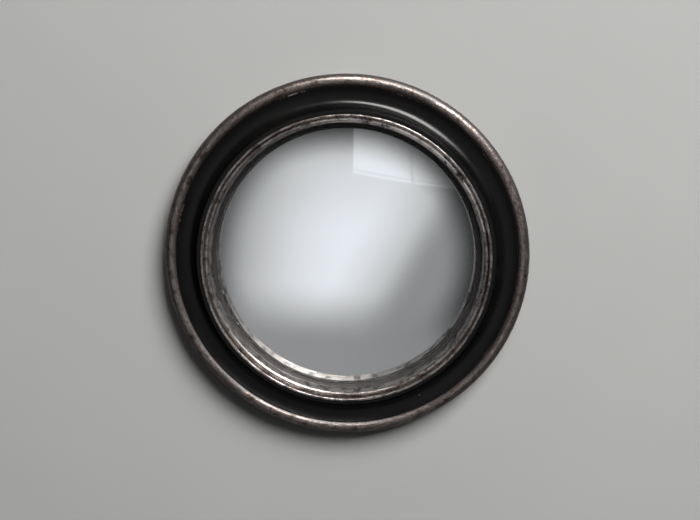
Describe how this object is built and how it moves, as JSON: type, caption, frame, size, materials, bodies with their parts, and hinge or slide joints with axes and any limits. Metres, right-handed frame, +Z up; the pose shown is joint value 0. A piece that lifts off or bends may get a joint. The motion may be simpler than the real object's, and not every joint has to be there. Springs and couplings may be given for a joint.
{
  "type": "convex wall mirror",
  "caption": "Round wall mirror with a domed glass in a turned black cove frame, worn silver-leaf beads, a pinned back board held by turn buttons and a hanging ring.",
  "frame": {"origin": "centre of the ring on the wall plane, where the back bumpers touch the wall", "axes": "-Y out of the wall towards the viewer (the glass faces -Y), +Z up, +X to the viewer's right"},
  "size_m": [0.24, 0.0267, 0.24],
  "materials": {
    "ebonised_wood": "ebonised, waxed gloss, worn brown at the edges",
    "silver_leaf": "turned wood with worn silver leaf over red-brown bole, dark patina",
    "silver_leaf_slip": "turned wood, ridge and bead in rubbed silver leaf, steep side and lip in dull grey leaf",
    "clear_glass": "polished clear float glass, domed",
    "silver_mirror": "silvered, seen through the glass",
    "felt": "grey felt strip",
    "packing_felt": "grey pressed felt",
    "hardboard": "tempered hardboard, smooth face",
    "zinc_plate": "zinc plated pressed steel",
    "screw_steel": "zinc plated steel",
    "ring_wire": "nickel plated steel wire",
    "bumper_rubber": "soft black rubber"
  },
  "bodies": {
    "mirror": {"frame_ring": "ebonised_wood", "outer_bead": "silver_leaf", "inner_slip": "silver_leaf_slip", "mirror_glass": "clear_glass", "mirror_silvering": "silver_mirror", "glass_felt": "felt", "packing_ring": "packing_felt", "backing_board": "hardboard", "turn_button_screws": "screw_steel", "slip_pins": "screw_steel", "bead_pins": "screw_steel", "hanger_strap": "zinc_plate", "hanger_screw": "screw_steel", "wall_bumpers": "bumper_rubber"},
    "button_1": {"turn_button_1": "zinc_plate"},
    "button_2": {"turn_button_2": "zinc_plate"},
    "button_3": {"turn_button_3": "zinc_plate"},
    "button_4": {"turn_button_4": "zinc_plate"},
    "hanging_loop": {"hanger_ring": "ring_wire"}
  },
  "joints": [
    {"name": "button_1_turn", "type": "hinge", "parent": "mirror", "child": "button_1", "pos_m": [0.07142, -0.0034, 0.07142], "axis": [0, 1, 0], "continuous": true},
    {"name": "button_2_turn", "type": "hinge", "parent": "mirror", "child": "button_2", "pos_m": [-0.07142, -0.0034, 0.07142], "axis": [0, 1, 0], "continuous": true},
    {"name": "button_3_turn", "type": "hinge", "parent": "mirror", "child": "button_3", "pos_m": [-0.07142, -0.0034, -0.07142], "axis": [0, 1, 0], "continuous": true},
    {"name": "button_4_turn", "type": "hinge", "parent": "mirror", "child": "button_4", "pos_m": [0.07142, -0.0034, -0.07142], "axis": [0, 1, 0], "continuous": true},
    {"name": "hanging_loop_swing", "type": "hinge", "parent": "mirror", "child": "hanging_loop", "pos_m": [0, -0.00214, 0.1045], "axis": [1, 0, 0], "range_deg": [-165, 3]}
  ]
}
